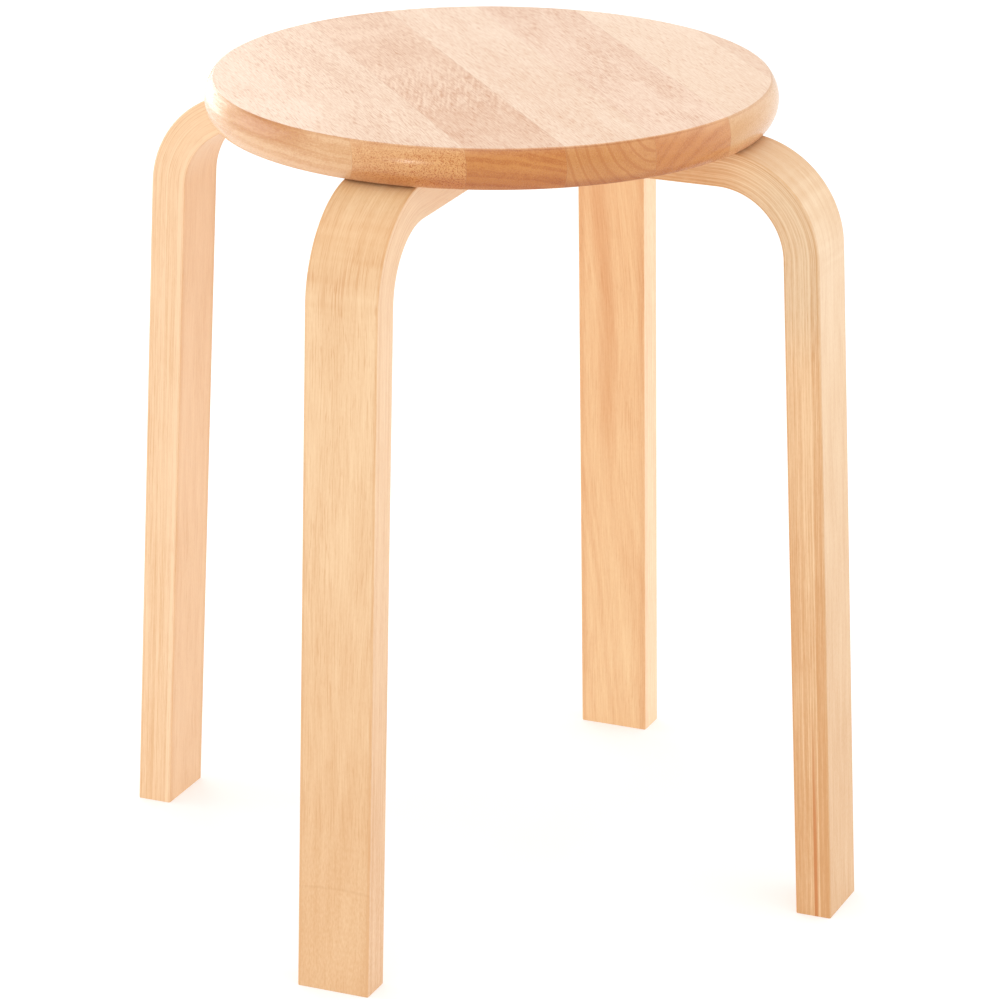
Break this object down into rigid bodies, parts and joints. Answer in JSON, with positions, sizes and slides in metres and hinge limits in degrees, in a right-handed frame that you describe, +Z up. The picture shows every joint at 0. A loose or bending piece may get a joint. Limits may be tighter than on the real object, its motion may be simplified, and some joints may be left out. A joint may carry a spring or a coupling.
{
  "type": "stacking stool",
  "caption": "Round backless stool with an edge-glued wooden seat on splayed L-shaped bent laminated legs, bolted under the seat so that stools stack.",
  "frame": {"origin": "on the floor, under the middle of the seat", "axes": "+Z up through the seat; the legs stand on the X and Y axes, the front leg on -Y and the right leg on +X"},
  "size_m": [0.424, 0.424, 0.45],
  "materials": {
    "seat_wood": "clear satin lacquer",
    "leg_laminate": "clear satin lacquer",
    "bolt_steel": "zinc plated",
    "insert_steel": "zinc plated"
  },
  "bodies": {
    "root": {"seat_stave_1": "seat_wood", "seat_stave_2": "seat_wood", "seat_stave_3": "seat_wood", "seat_stave_4": "seat_wood", "seat_stave_5": "seat_wood", "seat_stave_6": "seat_wood", "seat_stave_7": "seat_wood", "leg_front": "leg_laminate", "bolts_front": "bolt_steel", "washers_front": "bolt_steel", "inserts_front": "insert_steel", "leg_right": "leg_laminate", "bolts_right": "bolt_steel", "washers_right": "bolt_steel", "inserts_right": "insert_steel", "leg_back": "leg_laminate", "bolts_back": "bolt_steel", "washers_back": "bolt_steel", "inserts_back": "insert_steel", "leg_left": "leg_laminate", "bolts_left": "bolt_steel", "washers_left": "bolt_steel", "inserts_left": "insert_steel"}
  },
  "joints": []
}
